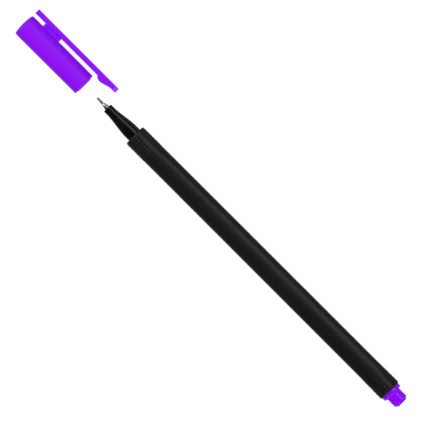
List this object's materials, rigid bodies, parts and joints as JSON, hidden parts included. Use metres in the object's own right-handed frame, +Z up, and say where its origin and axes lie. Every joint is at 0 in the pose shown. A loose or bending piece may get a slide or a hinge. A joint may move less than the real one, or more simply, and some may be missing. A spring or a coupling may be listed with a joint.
{
  "type": "fineliner pen",
  "caption": "Slim fineliner pen with a steel-clad nib, dotted grip, tail plug and a drawn-off clip cap that slides on to the nose.",
  "frame": {"origin": "on the table under the middle of the whole object's box, with the cap drawn off as in the picture", "axes": "+X along the pen from the nib to the tail, +Z up from the table the pen lies on, +Y to the side that the clip lies on"},
  "size_m": [0.1931, 0.0123, 0.009],
  "materials": {
    "barrel_black": "satin moulded",
    "nose_black": "glossy moulded",
    "tip_steel": "drawn and turned",
    "nib_violet": "ink-soaked",
    "reservoir_fibre": "ink-soaked fibre",
    "reservoir_film": "thin film",
    "plug_violet": "glossy moulded",
    "cap_violet": "satin-gloss moulded"
  },
  "bodies": {
    "pen": {"barrel": "barrel_black", "nose_cone": "nose_black", "steel_tip": "tip_steel", "nib": "nib_violet", "ink_reservoir": "reservoir_fibre", "reservoir_film": "reservoir_film", "tail_plug": "plug_violet"},
    "cap": {"cap_shell": "cap_violet", "inner_cap": "cap_violet"},
    "clip_arm": {"clip": "cap_violet"}
  },
  "joints": [
    {"name": "cap_slide", "type": "slide", "parent": "pen", "child": "cap", "axis": [1, 0, 0], "range_m": [0, 0.02535]},
    {"name": "clip_flex", "type": "hinge", "parent": "cap", "child": "clip_arm", "pos_m": [-0.08161, 0.00466, 0.00193], "axis": [0, 0.3788, 0.9255], "range_deg": [0, 4], "stiffness_Nm_per_rad": 0.4}
  ]
}
